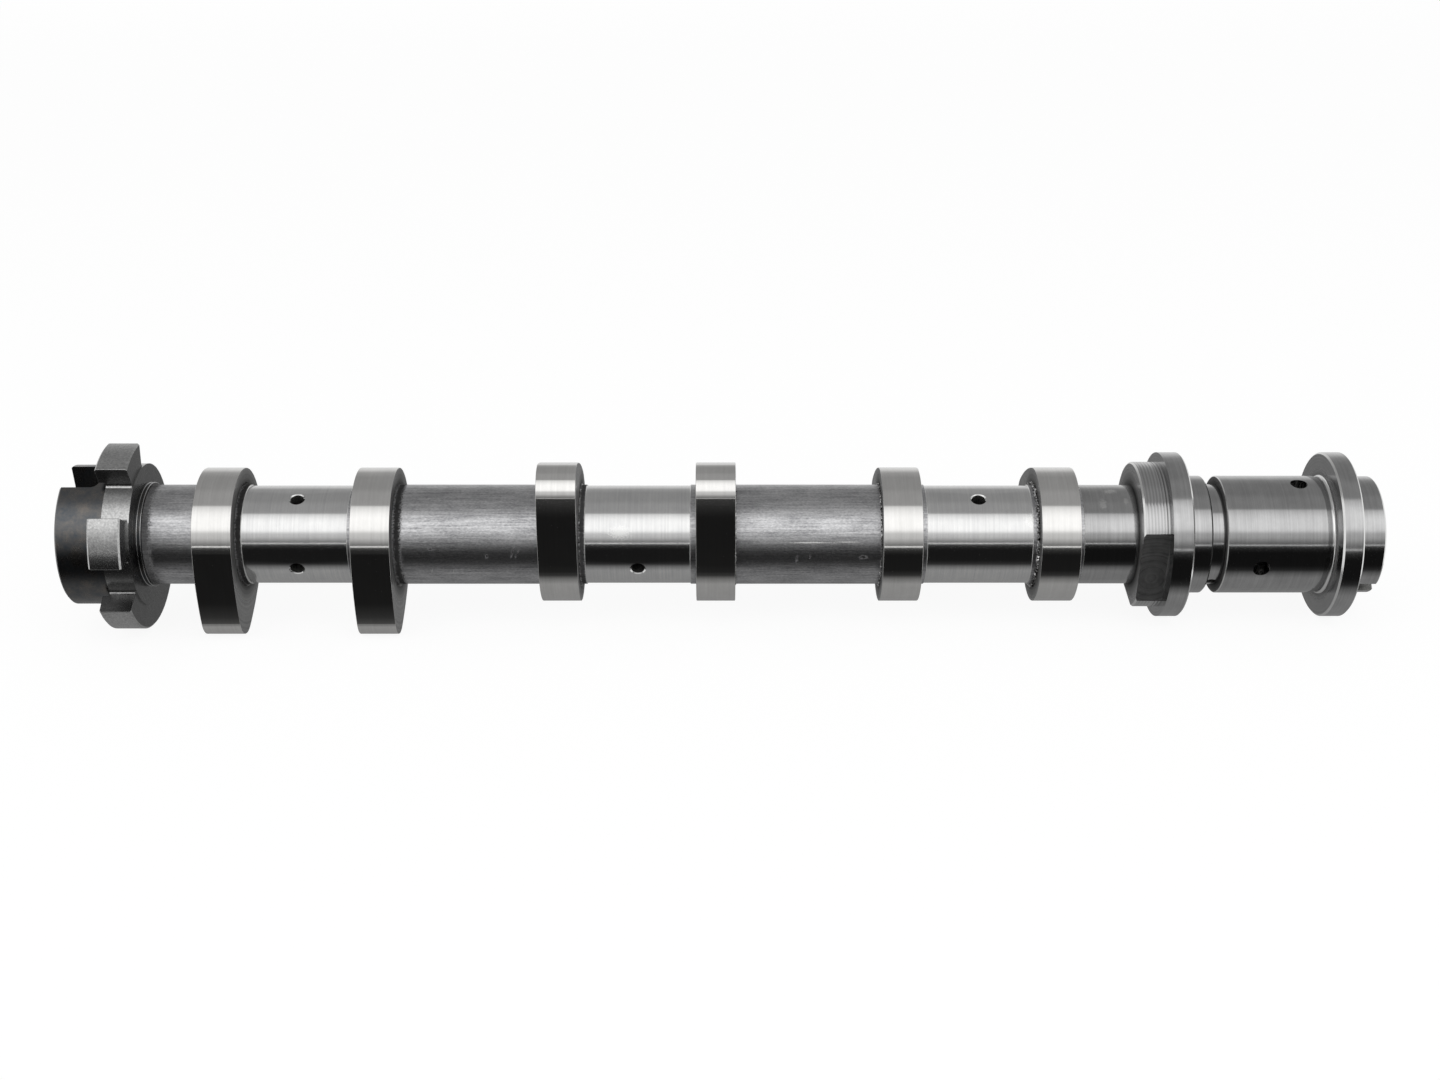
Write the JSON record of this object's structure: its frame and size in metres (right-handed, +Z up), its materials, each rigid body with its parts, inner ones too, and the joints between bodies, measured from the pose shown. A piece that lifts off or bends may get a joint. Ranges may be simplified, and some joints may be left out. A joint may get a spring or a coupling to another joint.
{
  "type": "camshaft",
  "caption": "Built-up hollow camshaft: lobes pressed on a drawn tube, a toothed trigger wheel and cross-slotted drive at the rear, a flanged journal and bolt-up nose in front.",
  "frame": {"origin": "on the shaft's axis, at the front face of the front flange, where the pilot boss starts", "axes": "+X along the shaft towards the front end with the pilot boss, +Z up with the shaft lying as it comes to rest on its trigger wheel, its front flange and the noses of the rear pair"},
  "size_m": [0.3898, 0.0586, 0.057],
  "materials": {
    "drawn_steel": "drawn tube, streaked along its length, with journals ground bright",
    "ground_steel": "hardened and ground",
    "sintered_steel": "sintered and sized, fine speckle",
    "blackened_steel": "turned, heat-blackened, with a worn bright end face",
    "turned_steel": "fine turned and ground"
  },
  "bodies": {
    "root": {"shaft_tube": "drawn_steel", "cam_lobe_1": "ground_steel", "cam_lobe_2": "ground_steel", "cam_lobe_3": "ground_steel", "cam_lobe_4": "ground_steel", "cam_lobe_5": "ground_steel", "cam_lobe_6": "ground_steel", "trigger_wheel": "sintered_steel", "rear_drive_piece": "blackened_steel", "front_journal_piece": "turned_steel"}
  },
  "joints": []
}
